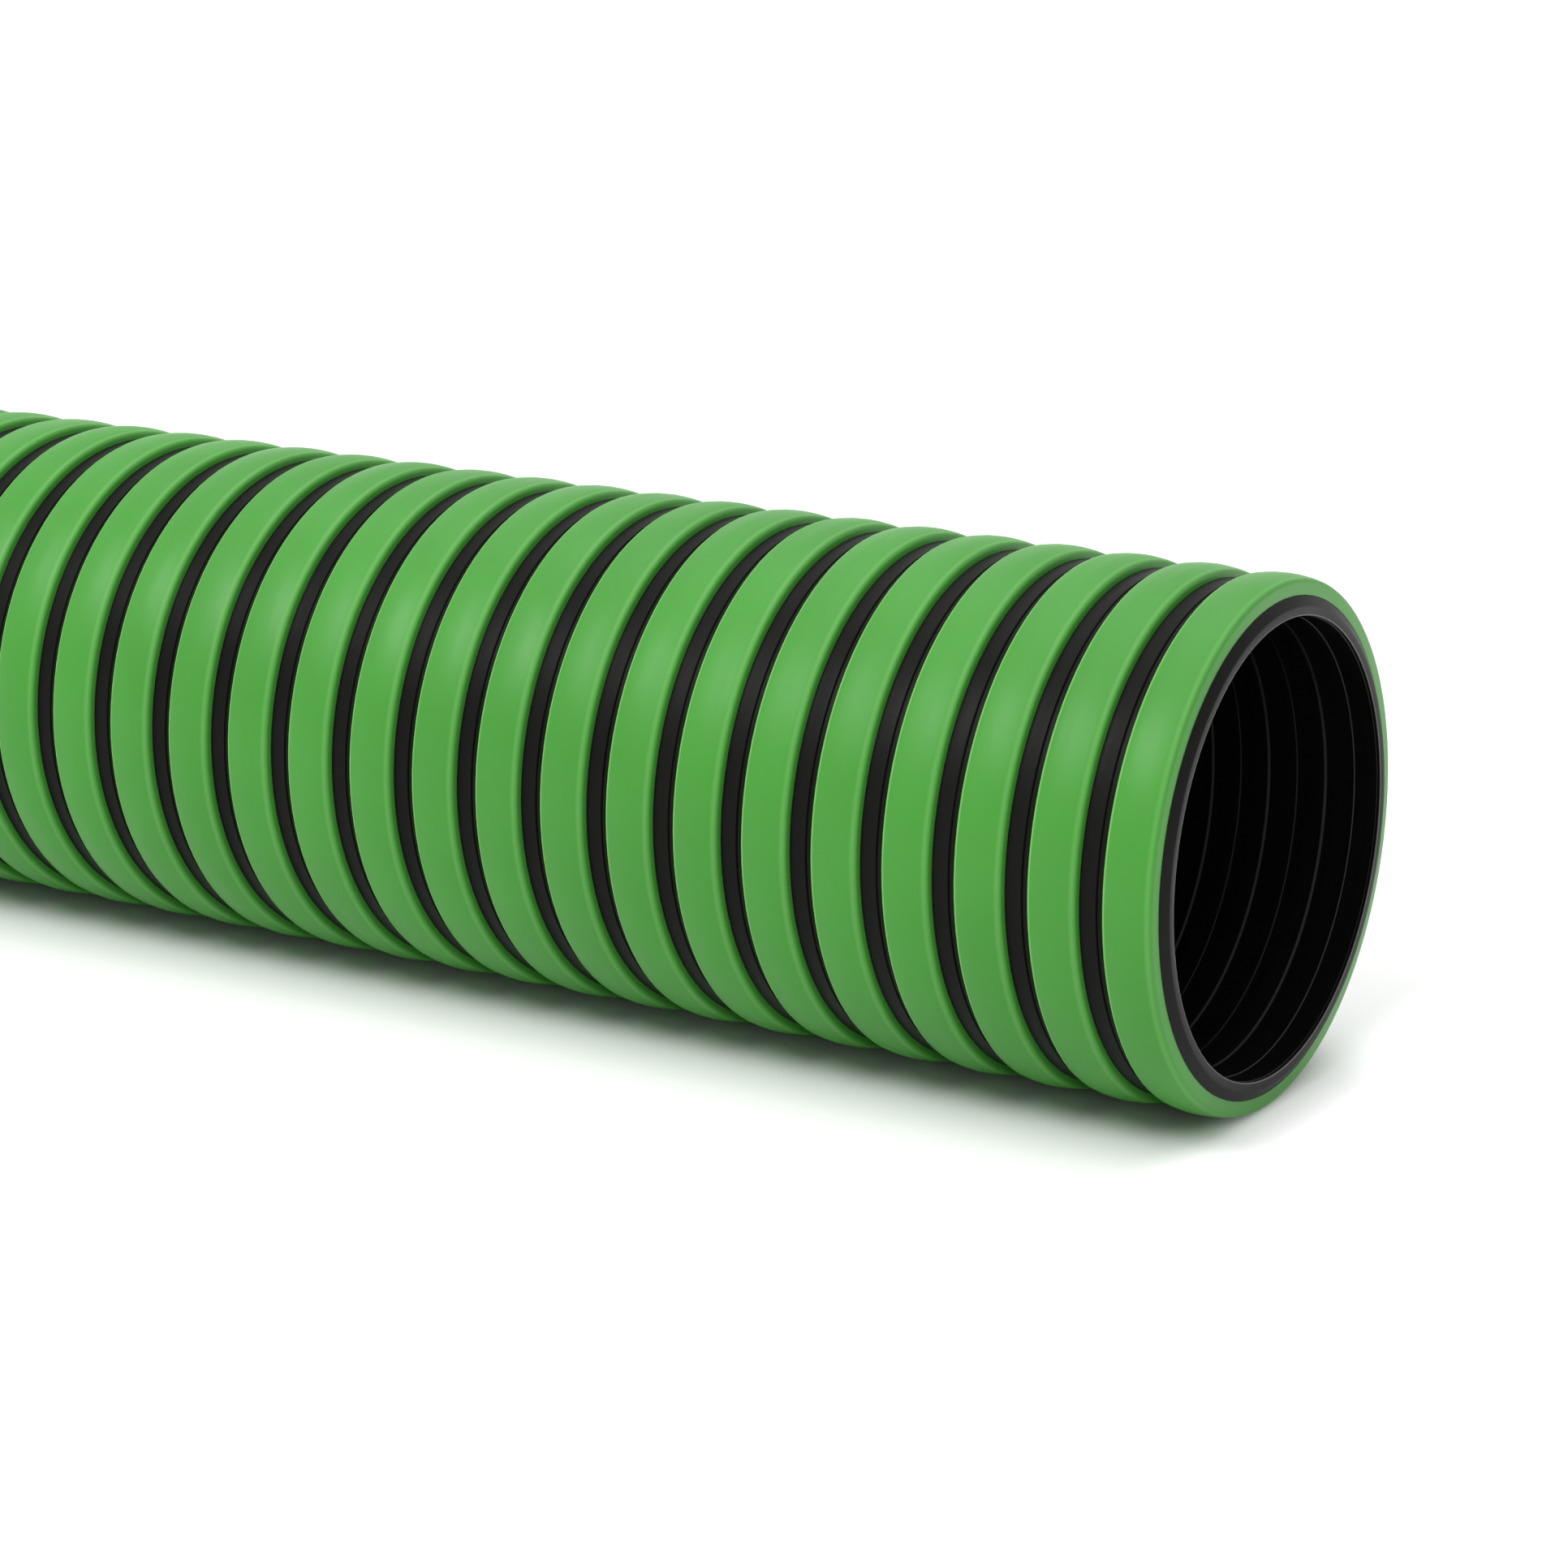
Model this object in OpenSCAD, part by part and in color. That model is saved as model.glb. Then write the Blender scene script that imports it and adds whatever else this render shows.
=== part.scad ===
// Ribbed suction hose, cut to length and lying on the floor along X.
// A black tube carries closed green ribs at one pitch, sunk to half their
// height between its bands. Each cut end is trimmed down beside the last rib.
// Origin: on the floor, under the middle of the hose. Millimetres.

/* [Hose] */
// Bore of the tube, the size that the hose is sold by
bore_d = 101.6; // [50:0.1:160]
// Wall of the black tube under the ribs
tube_wall = 3.3; // [2:0.1:6]
// Height of the black bands that fill the tube between the ribs
band_h = 2.8; // [1:0.1:3.4]

/* [Ribs] */
// Number of ribs on the cut length, which sets how long the hose is
rib_count = 57; // [5:1:85]
// Distance from one rib to the next along the hose
rib_pitch = 17.6; // [15:0.1:30]
// Width of one rib along the hose
rib_w = 11.6; // [7:0.1:13]
// Height of one rib from its seat on the tube to its crown
rib_h = 5.2; // [4.4:0.1:8]
// Radius of a rib's two shoulders
shoulder_r = 1; // [0.3:0.1:1.4]
// Rise of the crown's arc over the whole width of a rib
crown_rise = 0.8; // [0.2:0.1:1.2]

/* [Cut ends] */
// Length of bare tube that stands past the last rib
end_lip = 1.4; // [0.5:0.1:4]
// Broken outer edge of the tube at each cut end
outer_break = 1.3; // [0.2:0.1:1.8]
// Broken inner edge of the tube at each cut end
inner_break = 0.3; // [0.1:0.1:0.6]

/* [Hidden] */
$fn = 96;

bore_r = bore_d / 2;
tube_r = bore_r + tube_wall;
crown_r = tube_r + rib_h;

// Each cut falls just beside a rib: 57 ribs make a length of 1000
rib_span = (rib_count - 1) * rib_pitch;
hose_l = rib_span + rib_w + 2 * end_lip;

// The outer edge is broken no further back than the last rib's side
lip_break = min(outer_break, end_lip);

// The crown is one shallow arc, which runs tangent into both shoulders
crown_arc_r = (pow(rib_w / 2, 2) + pow(crown_rise, 2)) / (2 * crown_rise);
crown_arc_z = crown_r - crown_arc_r;
shoulder_x = rib_w / 2 - shoulder_r;
shoulder_z = crown_arc_z + sqrt(pow(crown_arc_r - shoulder_r, 2) - pow(shoulder_x, 2));
tangent_x = shoulder_x * crown_arc_r / (crown_arc_r - shoulder_r);

// Lays a shape that was turned about Z along X, at the height of the hose's axis
module along_hose() {
    translate([0, 0, crown_r]) rotate([0, 90, 0]) children();
}

// Half section of the tube, with both ends broken and a band in every gap
// between two ribs
module tube_section() {
    end = hose_l / 2;
    polygon([
        [bore_r, -end + inner_break],
        [bore_r + inner_break, -end],
        [tube_r - lip_break, -end],
        [tube_r, -end + lip_break],
        [tube_r, end - lip_break],
        [tube_r - lip_break, end],
        [bore_r + inner_break, end],
        [bore_r, end - inner_break]
    ]);
    for (i = [0 : rib_count - 2])
        translate([tube_r - tube_wall / 2, -rib_span / 2 + i * rib_pitch + rib_w / 2])
            square([tube_wall / 2 + band_h, rib_pitch - rib_w]);
}

// Section of one rib, seated on the tube: upright flanks and round shoulders
// under a shallow crown
module rib_section() {
    translate([tube_r, -rib_w / 2]) square([shoulder_z - tube_r, rib_w]);
    for (side = [-1, 1])
        translate([shoulder_z, side * shoulder_x]) circle(r = shoulder_r, $fn = 24);
    intersection() {
        translate([tube_r, -tangent_x]) square([crown_r - tube_r, 2 * tangent_x]);
        translate([crown_arc_z, 0]) circle(r = crown_arc_r, $fn = 144);
    }
}

// The black tube that carries the ribs
module rubber_tube() {
    color([0.07, 0.07, 0.06])
        along_hose()
            rotate_extrude() tube_section();
}

// The green ribs, closed rings square to the hose
module green_ribs() {
    color([0.30, 0.62, 0.26])
        along_hose()
            for (i = [0 : rib_count - 1])
                translate([0, 0, -rib_span / 2 + i * rib_pitch])
                    rotate_extrude() rib_section();
}

rubber_tube();
green_ribs();
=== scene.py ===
"""A cut length of green-ribbed black suction hose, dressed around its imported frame.

The tube and the ribs are remodelled at a finer division than the frame's own
meshes, so their round outlines stay smooth, and take procedural finishes.
"""

from __future__ import annotations

import logging
import math
from collections.abc import Callable
from dataclasses import dataclass, field
from enum import Enum

import bpy
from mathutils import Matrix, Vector

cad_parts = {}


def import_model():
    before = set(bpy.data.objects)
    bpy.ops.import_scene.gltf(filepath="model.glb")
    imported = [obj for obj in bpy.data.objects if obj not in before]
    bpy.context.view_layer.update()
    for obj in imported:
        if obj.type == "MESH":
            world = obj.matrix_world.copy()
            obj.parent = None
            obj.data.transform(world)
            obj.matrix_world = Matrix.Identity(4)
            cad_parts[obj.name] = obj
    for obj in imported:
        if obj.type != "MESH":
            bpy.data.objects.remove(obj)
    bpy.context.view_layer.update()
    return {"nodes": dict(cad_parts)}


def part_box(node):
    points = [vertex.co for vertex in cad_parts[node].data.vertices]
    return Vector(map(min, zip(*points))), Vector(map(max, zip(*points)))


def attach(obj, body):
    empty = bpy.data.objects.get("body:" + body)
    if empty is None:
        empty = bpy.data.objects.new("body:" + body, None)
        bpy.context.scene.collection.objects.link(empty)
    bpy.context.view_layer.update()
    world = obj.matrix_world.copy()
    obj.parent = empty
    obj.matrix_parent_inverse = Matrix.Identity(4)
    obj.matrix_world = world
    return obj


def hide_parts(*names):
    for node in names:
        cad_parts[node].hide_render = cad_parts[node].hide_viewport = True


LOG = logging.getLogger("suction_hose")

MM = 0.001
FULL_TURN = 2 * math.pi
ROUND_STEPS = 96  # divisions round the hose
MERGE_GAP = 0.004 * MM

Color = tuple[float, float, float]


class Bead(Enum):
    """The two kinds of line that run round the bore, by turns."""

    NARROW = 0
    WIDE = 1


@dataclass(frozen=True)
class HoseSizes:
    """Driving sizes of the hose, in metres.

    Attributes:
        length: Cut length over the tube's ends.
        crown_radius: Radius over the ribs.
        rib_span: Distance from the first rib's middle to the last one's.
        axis_height: Height of the hose's axis over the floor.
        bore_radius: Radius of the bore.
        rib_height: Height of a rib from its seat to its crown.
        band_drop: How far the black bands lie below the ribs' crowns.
        rib_width: Width of a rib along the hose.
        rib_pitch: Distance from rib to rib.
    """

    length: float
    crown_radius: float
    rib_span: float
    axis_height: float
    bore_radius: float = 50.8 * MM
    rib_height: float = 5.2 * MM
    band_drop: float = 2.4 * MM
    rib_width: float = 11.6 * MM
    rib_pitch: float = 17.6 * MM

    @property
    def rib_count(self) -> int:
        """Number of ribs along the hose."""
        return round(self.rib_span / self.rib_pitch) + 1

    @property
    def seat_radius(self) -> float:
        """Radius of the ribs' seat on the tube."""
        return self.crown_radius - self.rib_height

    @property
    def band_radius(self) -> float:
        """Radius of the black bands between the ribs."""
        return self.crown_radius - self.band_drop

    def over_axis(self, radius: float) -> float:
        """Height over the floor of a radius at the top of the hose."""
        return self.axis_height + radius


def read_sizes() -> HoseSizes:
    """Reads the hose's outer sizes off the frame's own boxes.

    Returns:
        The sizes that every piece is modelled to.
    """
    tube_low, tube_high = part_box("rubber_tube")
    rib_low, rib_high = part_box("green_ribs")
    return HoseSizes(
        length=tube_high[0] - tube_low[0],
        crown_radius=(rib_high[2] - rib_low[2]) / 2,
        rib_span=rib_high[0] - rib_low[0] - HoseSizes.rib_width,
        axis_height=(rib_high[2] + rib_low[2]) / 2,
    )


def deselect_all() -> None:
    """Leaves edit mode if it is on, and selects nothing."""
    if bpy.context.object and bpy.context.object.mode != "OBJECT":
        bpy.ops.object.mode_set(mode="OBJECT")
    bpy.ops.object.select_all(action="DESELECT")


def section_plate(name: str, width: float, low: float, high: float) -> bpy.types.Object:
    """Adds an upright plate in the plane of the hose's axis, as a section to turn.

    Args:
        name: Name of the new piece.
        width: Size along the hose.
        low: Height of the plate's lower edge.
        high: Height of its upper edge.

    Returns:
        The plate, active and selected, with its place in its mesh.
    """
    deselect_all()
    bpy.ops.mesh.primitive_plane_add(
        size=1, location=(0, 0, (low + high) / 2), rotation=(math.pi / 2, 0, 0)
    )
    plate = bpy.context.object
    plate.name = name
    plate.data.name = name
    plate.scale = (width, high - low, 1)
    bpy.ops.object.transform_apply(location=True, rotation=True, scale=True)
    return plate


def clear_picks(mesh: bpy.types.Mesh) -> None:
    """Unselects every vertex, edge and face of a mesh, in object mode."""
    for elements in (mesh.vertices, mesh.edges, mesh.polygons):
        for element in elements:
            element.select = False


def pick_vertices(piece: bpy.types.Object, wanted: Callable[[Vector], bool]) -> None:
    """Selects the vertices that a test picks out, and only those, in edit mode.

    Args:
        piece: The active piece.
        wanted: A test on a vertex's position.
    """
    bpy.ops.object.mode_set(mode="OBJECT")
    mesh = piece.data
    clear_picks(mesh)
    for vertex in mesh.vertices:
        vertex.select = bool(wanted(vertex.co))
    for edge in mesh.edges:
        edge.select = all(mesh.vertices[i].select for i in edge.vertices)
    bpy.context.tool_settings.mesh_select_mode = (True, False, False)
    bpy.ops.object.mode_set(mode="EDIT")


def pick_edges(piece: bpy.types.Object, wanted: Callable[[Vector], bool]) -> None:
    """Selects the edges that a test picks out, and only those, in edit mode.

    Args:
        piece: The active piece.
        wanted: A test on an edge's middle.
    """
    bpy.ops.object.mode_set(mode="OBJECT")
    mesh = piece.data
    clear_picks(mesh)
    for edge in mesh.edges:
        ends = [mesh.vertices[i] for i in edge.vertices]
        if wanted((ends[0].co + ends[1].co) / 2):
            edge.select = True
            for end in ends:
                end.select = True
    bpy.context.tool_settings.mesh_select_mode = (False, True, False)
    bpy.ops.object.mode_set(mode="EDIT")


def keep_outline() -> None:
    """Takes the faces out of the section in edit mode, and keeps its edges."""
    bpy.ops.mesh.select_all(action="SELECT")
    bpy.ops.mesh.delete(type="ONLY_FACE")


def bevel_points(width: float, segments: int) -> None:
    """Bevels the selected points of an outline.

    Args:
        width: Distance from a point to where its bevel starts.
        segments: Number of edges that the bevel gets.
    """
    bpy.ops.mesh.bevel(
        offset=width, offset_type="OFFSET", segments=segments, profile=0.5, affect="VERTICES"
    )


def point_row(piece: bpy.types.Object, height: float, reach: float, steps: int) -> None:
    """Puts an even row of points on one straight edge of an outline.

    Args:
        piece: The active piece, whose mesh is the outline.
        height: Height of the edge.
        reach: Distance from the middle to the row's first and last point.
        steps: Number of even steps between those two.
    """

    def on_edge(co: Vector) -> bool:
        """Tells whether a point lies on the edge."""
        return abs(co.z - height) < MERGE_GAP

    pick_vertices(piece, on_edge)
    bpy.ops.mesh.subdivide(number_cuts=2)
    bpy.ops.object.mode_set(mode="OBJECT")
    places = sorted(v.co.x for v in piece.data.vertices if on_edge(v.co))
    for place, target in zip(places[1:-1], (-reach, reach)):
        pick_vertices(piece, lambda co: on_edge(co) and abs(co.x - place) < MERGE_GAP)
        bpy.ops.transform.translate(value=(target - place, 0, 0))
    pick_vertices(piece, lambda co: on_edge(co) and abs(co.x) < reach + MERGE_GAP)
    bpy.ops.mesh.subdivide(number_cuts=steps - 1)


def turn_section(piece: bpy.types.Object, axis_height: float, sharp_from: float) -> None:
    """Turns the section a full round about the hose's axis and closes its seam.

    Args:
        piece: The piece whose mesh is the section, in edit mode.
        axis_height: Height of the axis.
        sharp_from: Angle in degrees from which an edge stays sharp.
    """
    bpy.ops.mesh.select_all(action="SELECT")
    bpy.ops.mesh.spin(
        steps=ROUND_STEPS, angle=FULL_TURN, center=(0, 0, axis_height), axis=(1, 0, 0)
    )
    bpy.ops.mesh.select_all(action="SELECT")
    bpy.ops.mesh.remove_doubles(threshold=MERGE_GAP)
    bpy.ops.mesh.normals_make_consistent(inside=False)
    bpy.ops.object.mode_set(mode="OBJECT")
    bpy.ops.object.shade_smooth_by_angle(angle=math.radians(sharp_from))


class NodeBench:
    """Small helper that lays out shader nodes in a tree."""

    def __init__(self, tree: bpy.types.NodeTree) -> None:
        """Keeps the tree that nodes are added to."""
        self.tree = tree

    def add(self, kind: str, **settings: object) -> bpy.types.Node:
        """Adds a node.

        Args:
            kind: The node's type name.
            **settings: Attributes set on it.

        Returns:
            The new node.
        """
        node = self.tree.nodes.new(kind)
        for key, value in settings.items():
            setattr(node, key, value)
        return node

    def link(self, source: bpy.types.NodeSocket, target: bpy.types.NodeSocket) -> None:
        """Joins an output to an input."""
        self.tree.links.new(source, target)

    def maths(self, operation: str, *values: float | bpy.types.NodeSocket) -> bpy.types.NodeSocket:
        """Adds a Math node.

        Args:
            operation: Its operation.
            *values: Numbers or output sockets, in the order of its inputs.

        Returns:
            The result socket.
        """
        node = self.add("ShaderNodeMath", operation=operation)
        for socket, value in zip(node.inputs, values):
            if isinstance(value, (int, float)):
                socket.default_value = value
            else:
                self.link(value, socket)
        return node.outputs[0]

    def ramp(self, value: bpy.types.NodeSocket, start: float, end: float, low: float = 0, high: float = 1) -> bpy.types.NodeSocket:
        """Maps a value smoothly from one range to another.

        Args:
            value: The value to map.
            start: Start of the input range.
            end: End of the input range.
            low: Result at the start.
            high: Result at the end.

        Returns:
            The result socket.
        """
        node = self.add("ShaderNodeMapRange", interpolation_type="SMOOTHSTEP")
        for socket, number in zip(node.inputs[1:5], (start, end, low, high)):
            socket.default_value = number
        self.link(value, node.inputs[0])
        return node.outputs[0]

    def mix(self, factor: bpy.types.NodeSocket, low: Color | bpy.types.NodeSocket, high: Color) -> bpy.types.NodeSocket:
        """Mixes two colours by a factor.

        Args:
            factor: The factor, 0 to 1.
            low: Colour at 0, or the socket that gives it.
            high: Colour at 1.

        Returns:
            The colour socket.
        """
        node = self.add("ShaderNodeMix", data_type="RGBA")
        self.link(factor, node.inputs["Factor"])
        if isinstance(low, tuple):
            node.inputs["A"].default_value = (*low, 1)
        else:
            self.link(low, node.inputs["A"])
        node.inputs["B"].default_value = (*high, 1)
        return node.outputs["Result"]


def start_group(name: str, inputs: dict[str, str], outputs: tuple[str, ...]) -> tuple[bpy.types.ShaderNodeTree, NodeBench, bpy.types.Node, bpy.types.Node]:
    """Starts a shader node group with its sockets.

    Args:
        name: Name of the group.
        inputs: Socket type by input name.
        outputs: Names of the outputs, which are all plain values.

    Returns:
        The group, its bench, its input node and its output node.
    """
    group = bpy.data.node_groups.new(name, "ShaderNodeTree")
    for label, kind in inputs.items():
        group.interface.new_socket(name=label, in_out="INPUT", socket_type=kind)
    for label in outputs:
        group.interface.new_socket(name=label, in_out="OUTPUT", socket_type="NodeSocketFloat")
    bench = NodeBench(group)
    return group, bench, bench.add("NodeGroupInput"), bench.add("NodeGroupOutput")


def surface_grain_group() -> bpy.types.ShaderNodeTree:
    """Builds the shared grain: a fine tooth, slow mottling and long extrusion streaks.

    Returns:
        A node group with the inputs Position, Tooth Scale and Streak Scale, and
        the outputs Height, Mottle and Streak.
    """
    name = "surface_grain"
    if name in bpy.data.node_groups:
        return bpy.data.node_groups[name]
    group, bench, source, result = start_group(
        name,
        {"Position": "NodeSocketVector", "Tooth Scale": "NodeSocketFloat", "Streak Scale": "NodeSocketFloat"},
        ("Height", "Mottle", "Streak"),
    )
    squeeze = bench.add("ShaderNodeMapping")
    squeeze.inputs["Scale"].default_value = (6, 0.35, 0.35)
    bench.link(source.outputs["Position"], squeeze.inputs["Vector"])
    plans = (
        ("Height", source.outputs["Position"], source.outputs["Tooth Scale"], 3),
        ("Mottle", source.outputs["Position"], 22.0, 2),
        ("Streak", squeeze.outputs["Vector"], source.outputs["Streak Scale"], 2),
    )
    for label, vector, scale, detail in plans:
        noise = bench.add("ShaderNodeTexNoise")
        noise.inputs["Detail"].default_value = detail
        bench.link(vector, noise.inputs["Vector"])
        if isinstance(scale, float):
            noise.inputs["Scale"].default_value = scale
        else:
            bench.link(scale, noise.inputs["Scale"])
        bench.link(noise.outputs["Fac"], result.inputs[label])
    return group


def pitch_place_group() -> bpy.types.ShaderNodeTree:
    """Builds the shared measure of where a point lies on the hose.

    Returns:
        A node group with the inputs Position, Pitch and Axis Height, and the
        outputs Along, the signed distance from the nearest whole pitch, Across,
        the same without its sign, and Radius, the distance from the axis.
    """
    name = "pitch_place"
    if name in bpy.data.node_groups:
        return bpy.data.node_groups[name]
    group, bench, source, result = start_group(
        name,
        {"Position": "NodeSocketVector", "Pitch": "NodeSocketFloat", "Axis Height": "NodeSocketFloat"},
        ("Along", "Across", "Radius"),
    )
    parts = bench.add("ShaderNodeSeparateXYZ")
    bench.link(source.outputs["Position"], parts.inputs["Vector"])
    pitch = source.outputs["Pitch"]
    turns = bench.maths("ROUND", bench.maths("DIVIDE", parts.outputs["X"], pitch))
    along = bench.maths("SUBTRACT", parts.outputs["X"], bench.maths("MULTIPLY", turns, pitch))
    rise = bench.maths("SUBTRACT", parts.outputs["Z"], source.outputs["Axis Height"])
    square = bench.maths(
        "ADD",
        bench.maths("MULTIPLY", rise, rise),
        bench.maths("MULTIPLY", parts.outputs["Y"], parts.outputs["Y"]),
    )
    bench.link(along, result.inputs["Along"])
    bench.link(bench.maths("ABSOLUTE", along), result.inputs["Across"])
    bench.link(bench.maths("SQRT", square), result.inputs["Radius"])
    return group


@dataclass(frozen=True)
class Finish:
    """What every finish on the hose has.

    Attributes:
        name: Name of the material.
        color: Main colour, linear.
        roughness: Gloss of the surface, 0 to 1.
        specular: Strength of the plain reflection.
        tooth_scale: Scale of the fine tooth.
        tooth_depth: Depth of the tooth's bump, in metres.
        streak_scale: Scale of the extrusion streaks.
    """

    name: str
    color: Color
    roughness: float
    specular: float
    tooth_scale: float
    tooth_depth: float
    streak_scale: float

    def start(self) -> tuple[bpy.types.Material, NodeBench, bpy.types.Node, bpy.types.Node]:
        """Makes the material with its shader, grain, bump and streaked gloss.

        Returns:
            The material, its bench, the shader and the grain.
        """
        material = bpy.data.materials.new(self.name)
        material.use_nodes = True
        bench = NodeBench(material.node_tree)
        shader = material.node_tree.nodes["Principled BSDF"]
        shader.inputs["Specular IOR Level"].default_value = self.specular
        grain = bench.add("ShaderNodeGroup", node_tree=surface_grain_group())
        grain.inputs["Tooth Scale"].default_value = self.tooth_scale
        grain.inputs["Streak Scale"].default_value = self.streak_scale
        bench.link(bench.add("ShaderNodeTexCoord").outputs["Object"], grain.inputs["Position"])
        bump = bench.add("ShaderNodeBump")
        bump.inputs["Strength"].default_value = 0.6
        bump.inputs["Distance"].default_value = self.tooth_depth
        bench.link(grain.outputs["Height"], bump.inputs["Height"])
        bench.link(bump.outputs["Normal"], shader.inputs["Normal"])
        bench.link(
            bench.ramp(grain.outputs["Streak"], 0.3, 0.7, self.roughness - 0.04, self.roughness + 0.05),
            shader.inputs["Roughness"],
        )
        return material, bench, shader, grain

    def place(self, bench: NodeBench, pitch: float, axis_height: float) -> bpy.types.Node:
        """Adds the measure of where a point lies on the hose.

        Args:
            bench: Where the node goes.
            pitch: The pitch to measure by.
            axis_height: Height of the hose's axis.

        Returns:
            The group node.
        """
        node = bench.add("ShaderNodeGroup", node_tree=pitch_place_group())
        node.inputs["Pitch"].default_value = pitch
        node.inputs["Axis Height"].default_value = axis_height
        bench.link(bench.add("ShaderNodeTexCoord").outputs["Object"], node.inputs["Position"])
        return node


@dataclass(frozen=True)
class GreenPlastic(Finish):
    """Satin green of the ribs, with a painted highlight line along each shoulder.

    Attributes:
        shoulder_highlight_color: Colour of the painted highlight lines on the shoulders.
        far_highlight_from: Along a rib, where the painted highlight line towards the far end starts.
        far_highlight_to: Along a rib, where that painted highlight line is full.
        far_highlight_share: How much of the highlight colour shows in it.
        sheen_from: Along a rib, where the softer painted highlight line towards the mouth starts.
        sheen_peak: Along a rib, where it is full.
        sheen_to: Along a rib, where it ends.
        sheen_share: How much of the highlight colour shows in it.
    """

    shoulder_highlight_color: Color = (0.26, 0.62, 0.18)
    far_highlight_from: float = -4.8 * MM
    far_highlight_to: float = -5.2 * MM
    far_highlight_share: float = 0.75
    sheen_from: float = 4.0 * MM
    sheen_peak: float = 4.9 * MM
    sheen_to: float = 5.8 * MM
    sheen_share: float = 0.22

    def make(self, sizes: HoseSizes) -> bpy.types.Material:
        """Makes the material.

        Args:
            sizes: The hose's sizes.

        Returns:
            The finished material.
        """
        material, bench, shader, grain = self.start()
        place = self.place(bench, sizes.rib_pitch, sizes.axis_height)
        shoulder = sizes.crown_radius - 1.7 * MM
        along = place.outputs["Along"]
        # Painted highlights: a paler line on each shoulder towards the far end and a softer one towards the mouth stand
        # in for light along the shoulders.
        sheen = bench.maths(
            "MULTIPLY",
            bench.ramp(along, self.sheen_from, self.sheen_peak, 0, self.sheen_share),
            bench.ramp(along, self.sheen_to, self.sheen_peak),
        )
        painted_highlight = bench.maths(
            "MULTIPLY",
            bench.maths("MAXIMUM", bench.ramp(along, self.far_highlight_from, self.far_highlight_to, 0, self.far_highlight_share), sheen),
            bench.ramp(place.outputs["Radius"], shoulder, shoulder + 0.4 * MM),
        )
        base = bench.mix(
            bench.ramp(grain.outputs["Mottle"], 0.35, 0.65),
            tuple(c * 0.96 for c in self.color),
            tuple(c * 1.04 for c in self.color),
        )
        bench.link(bench.mix(painted_highlight, base, self.shoulder_highlight_color), shader.inputs["Base Color"])
        return material


@dataclass(frozen=True)
class BlackRubber(Finish):
    """Black rubber of the tube: greyer where it is cut, darker in the bore as painted shade, with a painted highlight
    on the cut's inner edge and painted highlight lines in the bore.

    Attributes:
        bloom_color: Colour of the slightly bloomed patches.
        bore_color: Colour of the bore, darker than the outside as painted shade.
        cut_color: Colour of the cut faces.
        cut_depth: How far from an end a face counts as cut.
        edge_highlight_color: Colour of the painted highlight on the cut's inner edge.
        edge_highlight_depth: Depth and width of that painted highlight.
        narrow_highlight_color: Colour of the narrow painted highlight lines over the bore's beads.
        wide_highlight_color: Colour of the wide painted highlight lines over the bore's beads.
        top_share: How much of the painted highlight lines shows at the top of the bore, where they fade as painted
            shade.
    """

    bloom_color: Color = (0.0062, 0.0064, 0.0054)
    bore_color: Color = (0.0020, 0.0020, 0.0018)
    cut_color: Color = (0.0085, 0.0083, 0.0078)
    cut_depth: float = 0.14 * MM
    edge_highlight_color: Color = (0.16, 0.16, 0.15)
    edge_highlight_depth: float = 0.26 * MM
    narrow_highlight_color: Color = (0.038, 0.038, 0.035)
    wide_highlight_color: Color = (0.050, 0.050, 0.046)
    top_share: float = 0.3

    def make(self, sizes: HoseSizes, line_step: float, half_widths: dict[Bead, float]) -> bpy.types.Material:
        """Makes the material.

        Args:
            sizes: The hose's sizes.
            line_step: Distance from one bore line to the next.
            half_widths: Half the width of each kind of line.

        Returns:
            The finished material.
        """
        material, bench, shader, grain = self.start()
        place = self.place(bench, 2 * line_step, sizes.axis_height)
        radius, across = place.outputs["Radius"], place.outputs["Across"]
        outside = bench.mix(bench.ramp(grain.outputs["Mottle"], 0.35, 0.7), self.color, self.bloom_color)
        in_bore = bench.ramp(radius, sizes.bore_radius + 0.06 * MM, sizes.bore_radius + 0.02 * MM)
        # The bore is coloured darker than the outside, as painted shade.
        color = bench.mix(in_bore, outside, self.bore_color)
        # Paler lines over the bore's beads are painted highlights, fading towards the top of the bore as painted shade.
        thin, thick = half_widths[Bead.NARROW], half_widths[Bead.WIDE]
        narrow = bench.ramp(across, thin, thin * 0.6)
        wide = bench.ramp(across, line_step - thick, line_step - thick * 0.6)
        parts = bench.add("ShaderNodeSeparateXYZ")
        bench.link(bench.add("ShaderNodeTexCoord").outputs["Object"], parts.inputs["Vector"])
        low, high = sizes.axis_height - 10 * MM, sizes.over_axis(sizes.bore_radius)
        painted_shade_fade = bench.maths("MULTIPLY", in_bore, bench.ramp(parts.outputs["Z"], low, high, 1, self.top_share))
        color = bench.mix(bench.maths("MULTIPLY", painted_shade_fade, narrow), color, self.narrow_highlight_color)
        color = bench.mix(bench.maths("MULTIPLY", painted_shade_fade, wide), color, self.wide_highlight_color)
        end = sizes.length / 2
        cut = bench.ramp(bench.maths("ABSOLUTE", parts.outputs["X"]), end - self.cut_depth, end - 0.02 * MM)
        color = bench.mix(cut, color, self.cut_color)
        # Painted highlight along the cut's inner edge.
        edge = bench.maths(
            "MULTIPLY",
            bench.ramp(bench.maths("ABSOLUTE", parts.outputs["X"]), end - self.edge_highlight_depth, end - self.edge_highlight_depth * 0.8),
            bench.ramp(radius, sizes.bore_radius + self.edge_highlight_depth, sizes.bore_radius + self.edge_highlight_depth * 0.8),
        )
        bench.link(bench.mix(edge, color, self.edge_highlight_color), shader.inputs["Base Color"])
        return material


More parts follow.
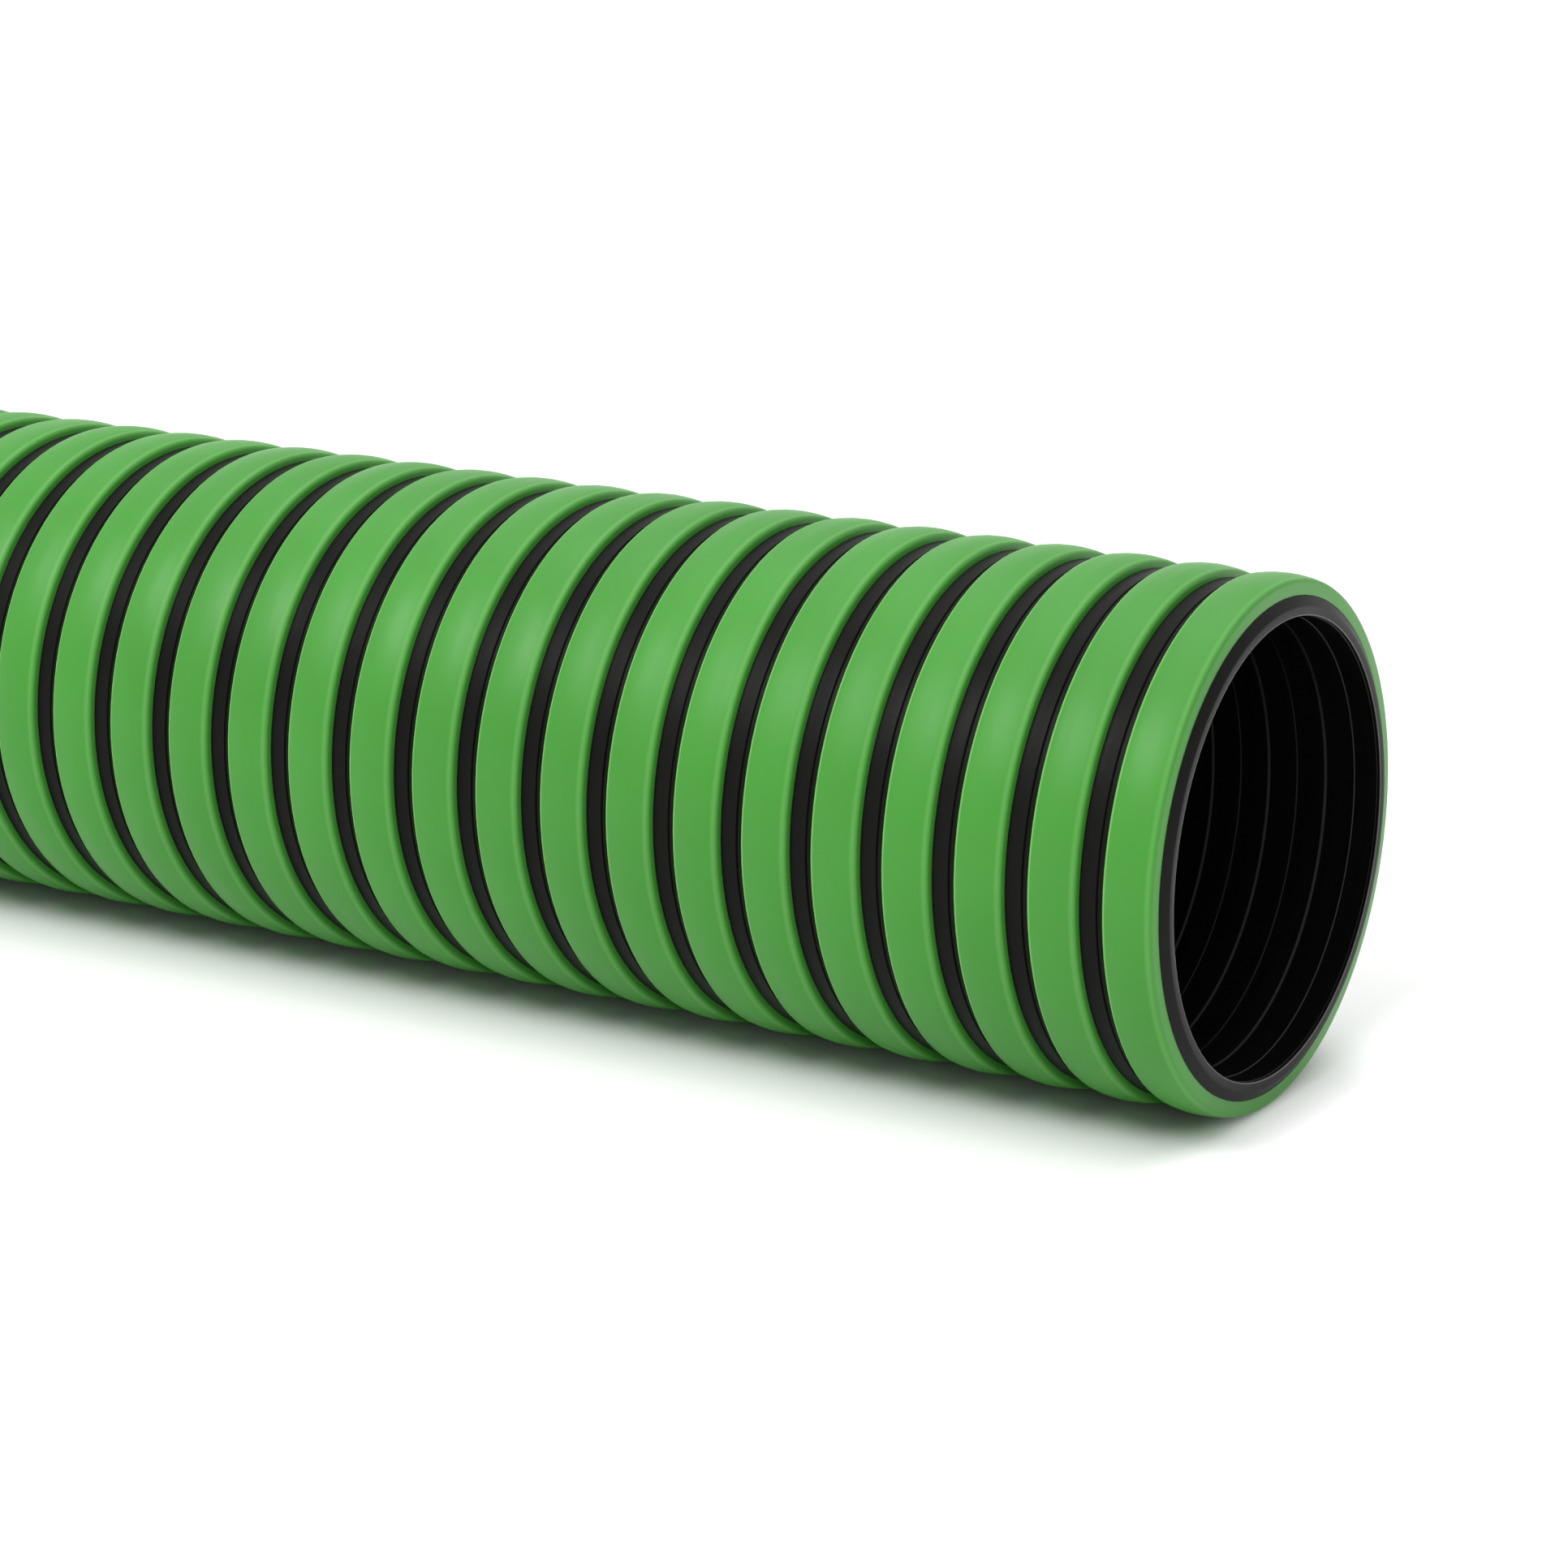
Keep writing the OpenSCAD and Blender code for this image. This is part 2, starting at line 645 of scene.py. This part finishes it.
@dataclass
class RubberTube:
    """The black tube with its bands between the ribs, trimmed ends and lined bore.

    Attributes:
        sizes: The hose's sizes.
        outer_break: Chamfer of the outer edge at each end.
        collar_rise: How far the chamfer climbs the last rib's side.
        face_break: Rounding of the cut face's outer edge.
        inner_break: Rounding of the cut face's inner edge.
        band_break: Rounding of a band's two edges.
        groove_shift: From a band's middle to the fine groove along it.
        groove_half: Half the groove's width.
        groove_depth: Depth of the groove.
        first_bead: From an end to the first bead in the bore.
        bead_steps: Number of steps from the first bead to the last.
        bead_half: Half the width of each kind of bead.
        bead_rise: Height of each kind of bead.
        rim_bead: From an end to the fine bead just inside the mouth.
        finish: The rubber's finish.
    """

    sizes: HoseSizes
    outer_break: float = 1.3 * MM
    collar_rise: float = 1.0 * MM
    face_break: float = 0.14 * MM
    inner_break: float = 0.22 * MM
    band_break: float = 0.25 * MM
    groove_shift: float = 1.2 * MM
    groove_half: float = 0.28 * MM
    groove_depth: float = 0.4 * MM
    first_bead: float = 6.5 * MM
    bead_steps: int = 140
    bead_half: dict[Bead, float] = field(default_factory=lambda: {Bead.NARROW: 0.22 * MM, Bead.WIDE: 0.42 * MM})
    bead_rise: dict[Bead, float] = field(default_factory=lambda: {Bead.NARROW: 0.18 * MM, Bead.WIDE: 0.22 * MM})
    rim_bead: float = 1.0 * MM
    finish: BlackRubber = field(
        default_factory=lambda: BlackRubber(
            name="black_rubber",
            color=(0.0045, 0.0047, 0.0040),
            roughness=0.42,
            specular=0.08,
            tooth_scale=900,
            tooth_depth=0.06 * MM,
            streak_scale=60,
        )
    )

    @property
    def bead_reach(self) -> float:
        """Distance from the hose's middle to the last bead."""
        return self.sizes.length / 2 - self.first_bead

    @property
    def bead_step(self) -> float:
        """Distance from one bead to the next."""
        return 2 * self.bead_reach / self.bead_steps

    def build(self) -> bpy.types.Object:
        """Models the tube.

        Returns:
            The dressed tube, riding on the root body.
        """
        s = self.sizes
        bore, seat = s.over_axis(s.bore_radius), s.over_axis(s.seat_radius)
        tube = section_plate("rubber_tube_skin", s.length, bore, seat)
        self.break_edges(tube, bore, seat)
        self.lay_beads(tube, bore)
        self.lay_rim_beads(tube, bore)
        self.raise_bands(tube, seat)
        self.cut_grooves(tube)
        self.raise_collars(tube, seat)
        turn_section(tube, s.axis_height, 20)
        tube.data.materials.append(self.finish.make(s, self.bead_step, self.bead_half))
        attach(tube, "root")
        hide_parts("rubber_tube")
        return tube

    def break_edges(self, tube: bpy.types.Object, bore: float, seat: float) -> None:
        """Breaks the section's corners at the two cut ends.

        Args:
            tube: The section plate.
            bore: Height of the section's bore edge.
            seat: Height of its outer edge.
        """
        end = self.sizes.length / 2
        for height, width, segments in ((seat, self.outer_break, 1), (bore, self.inner_break, 3)):
            pick_vertices(tube, lambda co: abs(co.z - height) < MERGE_GAP and abs(abs(co.x) - end) < MERGE_GAP)
            bevel_points(width, segments)
        keep_outline()

    def lay_beads(self, tube: bpy.types.Object, bore: float) -> None:
        """Raises the beads along the bore edge, narrow and wide ones by turns.

        Args:
            tube: The section's outline.
            bore: Height of the bore edge.
        """
        reach, step = self.bead_reach, self.bead_step
        point_row(tube, bore, reach, self.bead_steps)
        for bead in Bead:

            def on_line(co: Vector) -> bool:
                """Tells whether a point is the middle of a bead of this kind."""
                turn = (co.x + reach) / step
                near = abs(turn - round(turn)) * step < MERGE_GAP and abs(co.x) < reach + MERGE_GAP
                return near and abs(co.z - bore) < MERGE_GAP and round(turn) % 2 == bead.value

            pick_vertices(tube, on_line)
            bevel_points(self.bead_half[bead], 2)
            pick_vertices(tube, on_line)
            bpy.ops.transform.translate(value=(0, 0, -self.bead_rise[bead]))

    def lay_rim_beads(self, tube: bpy.types.Object, bore: float) -> None:
        """Raises the one fine bead just inside each mouth.

        Args:
            tube: The section's outline.
            bore: Height of the bore edge.
        """
        foot, mouth = self.bead_reach + self.bead_half[Bead.NARROW], self.sizes.length / 2 - self.inner_break
        pick_vertices(tube, lambda co: abs(co.z - bore) < MERGE_GAP and abs(co.x) > foot - MERGE_GAP)
        bpy.ops.mesh.subdivide(number_cuts=1)
        middle, place = (foot + mouth) / 2, self.sizes.length / 2 - self.rim_bead
        for goal, action in ((middle, "place"), (place, "shape"), (place, "raise")):
            pick_vertices(tube, lambda co: abs(co.z - bore) < MERGE_GAP and abs(abs(co.x) - goal) < MERGE_GAP)
            if action == "place":
                bpy.ops.transform.resize(value=(place / middle, 1, 1), center_override=(0, 0, 0))
            elif action == "shape":
                bevel_points(self.bead_half[Bead.NARROW], 2)
            else:
                bpy.ops.transform.translate(value=(0, 0, -self.bead_rise[Bead.NARROW]))

    def raise_collars(self, tube: bpy.types.Object, seat: float) -> None:
        """Lets the chamfer at each end climb the last rib's side, and rounds its foot.

        Args:
            tube: The section's outline.
            seat: Height of the outer edge.
        """
        end = self.sizes.length / 2
        pick_vertices(
            tube, lambda co: abs(co.z - seat) < MERGE_GAP and abs(abs(co.x) - end + self.outer_break) < MERGE_GAP
        )
        bpy.ops.transform.translate(value=(0, 0, self.collar_rise))
        foot = seat - self.outer_break
        pick_vertices(tube, lambda co: abs(co.z - foot) < MERGE_GAP and abs(abs(co.x) - end) < MERGE_GAP)
        bevel_points(self.face_break, 2)

    def in_gap(self, co: Vector) -> bool:
        """Tells whether a point lies at the middle of a gap between two ribs."""
        turn = (co.x + self.sizes.rib_span / 2) / self.sizes.rib_pitch
        return abs(turn % 1 - 0.5) < 0.02 and 0 < turn < self.sizes.rib_count - 1

    def raise_bands(self, tube: bpy.types.Object, seat: float) -> None:
        """Raises a band in each gap between two ribs.

        Args:
            tube: The section's outline.
            seat: Height of the outer edge, where the ribs sit.
        """
        s = self.sizes
        reach = s.rib_span / 2
        point_row(tube, seat, reach, s.rib_count - 1)
        pick_vertices(tube, lambda co: abs(co.z - seat) < MERGE_GAP and abs(co.x) < reach + MERGE_GAP)
        bevel_points(s.rib_width / 2, 1)
        pick_edges(tube, lambda co: abs(co.z - seat) < MERGE_GAP and self.in_gap(co))
        bpy.ops.mesh.extrude_edges_move(TRANSFORM_OT_translate={"value": (0, 0, s.band_radius - s.seat_radius)})
        keep_outline()
        pick_edges(tube, lambda co: abs(co.z - seat) < MERGE_GAP and self.in_gap(co))
        bpy.ops.mesh.delete(type="EDGE")
        top = s.over_axis(s.band_radius)
        pick_vertices(tube, lambda co: abs(co.z - top) < MERGE_GAP)
        bevel_points(self.band_break, 1)

    def cut_grooves(self, tube: bpy.types.Object) -> None:
        """Cuts the fine groove along each band.

        Args:
            tube: The section's outline, with its bands raised.
        """
        s = self.sizes
        top = s.over_axis(s.band_radius)
        pick_vertices(tube, lambda co: abs(co.z - top) < MERGE_GAP)
        bpy.ops.mesh.subdivide(number_cuts=1)
        pick_vertices(tube, lambda co: abs(co.z - top) < MERGE_GAP and self.in_gap(co))
        bpy.ops.transform.translate(value=(self.groove_shift, 0, 0))

        def on_groove(co: Vector) -> bool:
            """Tells whether a point is the middle of a groove."""
            return abs(co.z - top) < MERGE_GAP and self.in_gap(co - Vector((self.groove_shift, 0, 0)))

        pick_vertices(tube, on_groove)
        bevel_points(self.groove_half, 2)
        pick_vertices(tube, lambda co: on_groove(co) and self.near_gap(co.x - self.groove_shift))
        bpy.ops.transform.translate(value=(0, 0, -self.groove_depth))

    def near_gap(self, place: float) -> bool:
        """Tells whether a place along the hose is a gap's middle to the last micron."""
        turn = (place + self.sizes.rib_span / 2) / self.sizes.rib_pitch
        return abs(turn % 1 - 0.5) * self.sizes.rib_pitch < MERGE_GAP


@dataclass
class GreenRibs:
    """The closed green ribs, one modelled and the rest set out along the hose.

    Attributes:
        sizes: The hose's sizes.
        shoulder: Distance from a rib's corner to where its rounding starts.
        crown_rise: Rise of the crown's arc over the whole width.
        crown_cuts: Points along the crown between its two corners.
        finish: The plastic's finish.
    """

    sizes: HoseSizes
    shoulder: float = 0.9 * MM
    crown_rise: float = 0.8 * MM
    crown_cuts: int = 5
    finish: GreenPlastic = field(
        default_factory=lambda: GreenPlastic(
            name="green_plastic",
            color=(0.058, 0.305, 0.034),
            roughness=0.42,
            specular=0.32,
            tooth_scale=700,
            tooth_depth=0.04 * MM,
            streak_scale=40,
        )
    )

    def build(self) -> bpy.types.Object:
        """Models one rib and sets out the rest.

        Returns:
            The dressed ribs, riding on the root body.
        """
        s = self.sizes
        corner = s.over_axis(s.crown_radius - self.crown_rise)
        ribs = section_plate("green_ribs_skin", s.rib_width, s.over_axis(s.seat_radius), corner)
        self.raise_crown(ribs, corner)
        turn_section(ribs, s.axis_height, 35)
        self.set_out(ribs)
        ribs.data.materials.append(self.finish.make(s))
        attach(ribs, "root")
        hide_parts("green_ribs")
        return ribs

    def raise_crown(self, ribs: bpy.types.Object, corner: float) -> None:
        """Raises the plate's upper edge to the crown's arc and rounds its corners.

        Args:
            ribs: The section plate.
            corner: Height of the plate's upper corners.
        """
        half = self.sizes.rib_width / 2
        arc = (half**2 + self.crown_rise**2) / (2 * self.crown_rise)
        keep_outline_of = lambda co: co.z > corner - MERGE_GAP
        pick_vertices(ribs, keep_outline_of)
        bpy.ops.mesh.subdivide(number_cuts=self.crown_cuts)
        keep_outline()
        for step in range(1, self.crown_cuts + 1):
            place = -half + 2 * half * step / (self.crown_cuts + 1)
            rise = math.sqrt(arc**2 - place**2) - (arc - self.crown_rise)
            pick_vertices(ribs, lambda co: keep_outline_of(co) and abs(co.x - place) < MERGE_GAP)
            bpy.ops.transform.translate(value=(0, 0, rise))
        pick_vertices(ribs, lambda co: keep_outline_of(co) and abs(abs(co.x) - half) < MERGE_GAP)
        bevel_points(self.shoulder, 3)

    def set_out(self, ribs: bpy.types.Object) -> None:
        """Repeats the rib along the hose, at the pitch.

        Args:
            ribs: The one finished rib, at the middle of the hose.
        """
        s = self.sizes
        deselect_all()
        ribs.select_set(True)
        bpy.context.view_layer.objects.active = ribs
        bpy.ops.object.mode_set(mode="EDIT")
        bpy.ops.mesh.select_all(action="SELECT")
        bpy.ops.transform.translate(value=(-s.rib_span / 2, 0, 0))
        bpy.ops.object.mode_set(mode="OBJECT")
        row = ribs.modifiers.new("row", "ARRAY")
        row.count = s.rib_count
        row.use_relative_offset = False
        row.use_constant_offset = True
        row.constant_offset_displace = (s.rib_pitch, 0, 0)
        bpy.ops.object.modifier_apply(modifier=row.name)


@dataclass
class Studio:
    """The pale floor, the soft lights and the camera.

    Attributes:
        sizes: The hose's sizes.
        floor_half: Half the floor's side.
        azimuth: The camera's direction round the hose, in degrees.
        elevation: The camera's height angle, in degrees.
        distance: From the point aimed at to the camera.
        aim_back: From the open end back to the point aimed at.
        aim_drop: From the axis down to the point aimed at.
        lens: Focal length for a 36 mm sensor.
        world_light: Strength of the world as a light.
        near_glow: Painted light that the floor adds to what is seen of it beside the hose, rising from under the hose
            to just past its side, so the shadow right by the hose stays deeper as painted shade.
        end_glow: Painted light that it adds on top past the hose's ends, which hides most of the shadow there.
        far_glow: Light that it adds on top far from the hose.
    """

    sizes: HoseSizes
    floor_half: float = 12.0
    azimuth: float = 31.82
    elevation: float = 15.34
    distance: float = 1.0246
    aim_back: float = 126.0 * MM
    aim_drop: float = 3.5 * MM
    lens: float = 102.44
    world_light: float = 0.38
    near_glow: float = 0.30
    end_glow: float = 0.75
    far_glow: float = 0.5

    def build(self) -> None:
        """Sets up floor, world, lights and camera."""
        self.lay_floor()
        self.light_world()
        self.hang_lights()
        self.place_camera()

    def lay_floor(self) -> None:
        """Lays the pale floor under the hose, with painted light that deepens the shadow right by the hose and hides
        most of it past the hose's ends.
        """
        deselect_all()
        bpy.ops.mesh.primitive_plane_add(size=2 * self.floor_half, location=(0, 0, 0))
        floor = bpy.context.object
        floor.name = "studio_floor"
        material = bpy.data.materials.new("pale_floor")
        material.use_nodes = True
        bench = NodeBench(material.node_tree)
        shader = material.node_tree.nodes["Principled BSDF"]
        shader.inputs["Base Color"].default_value = (0.9, 0.9, 0.9, 1)
        shader.inputs["Roughness"].default_value = 0.9
        shader.inputs["Specular IOR Level"].default_value = 0.0
        shader.inputs["Emission Color"].default_value = (1, 1, 1, 1)
        parts = bench.add("ShaderNodeSeparateXYZ")
        bench.link(bench.add("ShaderNodeTexCoord").outputs["Object"], parts.inputs["Vector"])
        past_end = bench.maths("SUBTRACT", bench.maths("ABSOLUTE", parts.outputs["X"]), self.sizes.length / 2)
        beside = bench.maths("MAXIMUM", past_end, bench.maths("ABSOLUTE", parts.outputs["Y"]))
        # Painted light seen on the floor: none right by the hose, rising just past its side and far out, and strong
        # past its ends, where it hides most of the shadow.
        glow = bench.maths(
            "ADD",
            bench.maths("ADD", bench.ramp(beside, 0.02, 0.06, 0, self.near_glow), bench.ramp(beside, 0.3, 1.2, 0, self.far_glow)),
            bench.ramp(past_end, -0.012, 0.022, 0, self.end_glow),
        )
        seen = bench.maths("MULTIPLY", self.seen_directly(bench), glow)
        bench.link(seen, shader.inputs["Emission Strength"])
        floor.data.materials.append(material)

    def seen_directly(self, bench: NodeBench) -> bpy.types.NodeSocket:
        """Gives 1 for rays that see the studio itself, and 0 for those that light by it.

        Args:
            bench: Where the nodes go.

        Returns:
            The factor's socket.
        """
        rays = bench.add("ShaderNodeLightPath")
        mirrored = bench.maths("MAXIMUM", rays.outputs["Is Glossy Ray"], rays.outputs["Is Transmission Ray"])
        return bench.maths("MAXIMUM", rays.outputs["Is Camera Ray"], mirrored)

    def light_world(self) -> None:
        """Gives the world a soft even white, seen plain white by the camera."""
        world = bpy.data.worlds.new("studio_world")
        bpy.context.scene.world = world
        world.use_nodes = True
        bench = NodeBench(world.node_tree)
        soft = world.node_tree.nodes["Background"]
        soft.inputs["Color"].default_value = (1, 1, 1, 1)
        soft.inputs["Strength"].default_value = self.world_light
        plain = bench.add("ShaderNodeBackground")
        plain.inputs["Color"].default_value = (1, 1, 1, 1)
        plain.inputs["Strength"].default_value = 1.0
        mix = bench.add("ShaderNodeMixShader")
        bench.link(self.seen_directly(bench), mix.inputs["Fac"])
        bench.link(soft.outputs["Background"], mix.inputs[1])
        bench.link(plain.outputs["Background"], mix.inputs[2])
        bench.link(mix.outputs["Shader"], world.node_tree.nodes["World Output"].inputs["Surface"])

    def hang_lights(self) -> None:
        """Hangs the overhead, mouth and side softboxes."""
        self.softbox("overhead_softbox", (0.4, 0.1, 2.0), (0.3, 0, 0.06), (2.6, 1.6), 19)
        self.softbox("mouth_softbox", (1.7, -1.0, 1.3), (0.5, 0, 0.06), (0.8, 0.8), 5)
        self.softbox("side_softbox", (-0.25, -1.05, 1.35), (0.3, 0, 0.06), (1.1, 0.6), 15)

    def softbox(self, name: str, place: tuple[float, float, float], aim: tuple[float, float, float], size: tuple[float, float], power: float) -> None:
        """Hangs one rectangular light.

        Args:
            name: Name of the light.
            place: Where it hangs.
            aim: The point that it faces.
            size: Its width and height.
            power: Its power in watts.
        """
        deselect_all()
        bpy.ops.object.light_add(type="AREA", location=place)
        lamp = bpy.context.object
        lamp.name = name
        lamp.data.shape = "RECTANGLE"
        lamp.data.size, lamp.data.size_y = size
        lamp.data.energy = power
        facing = Vector(aim) - Vector(place)
        lamp.rotation_euler = facing.to_track_quat("-Z", "Y").to_euler()

    def place_camera(self) -> None:
        """Sets the camera at the picture's viewing angle."""
        s = self.sizes
        turn, lift = math.radians(self.azimuth), math.radians(self.elevation)
        back = Vector((math.sin(turn) * math.cos(lift), -math.cos(turn) * math.cos(lift), math.sin(lift)))
        aim = Vector((s.length / 2 - self.aim_back, 0, s.axis_height - self.aim_drop))
        deselect_all()
        bpy.ops.object.camera_add(location=aim + back * self.distance)
        camera = bpy.context.object
        camera.rotation_euler = (-back).to_track_quat("-Z", "Y").to_euler()
        camera.data.lens = self.lens
        camera.data.sensor_width = 36
        camera.data.clip_start, camera.data.clip_end = 0.01, 60
        bpy.context.scene.camera = camera


def main() -> None:
    """Loads the frame, models and dresses each piece, and sets the studio."""
    logging.basicConfig(level=logging.INFO, format="%(name)s: %(message)s")
    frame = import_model()
    bpy.context.scene.view_settings.view_transform = "Standard"
    sizes = read_sizes()
    LOG.info("frame has %d nodes, hose of %d ribs", len(frame["nodes"]), sizes.rib_count)
    for part in (RubberTube(sizes), GreenRibs(sizes)):
        piece = part.build()
        LOG.info("%s: %d faces", piece.name, len(piece.data.polygons))
    Studio(sizes).build()


if __name__ == "__main__":
    main()
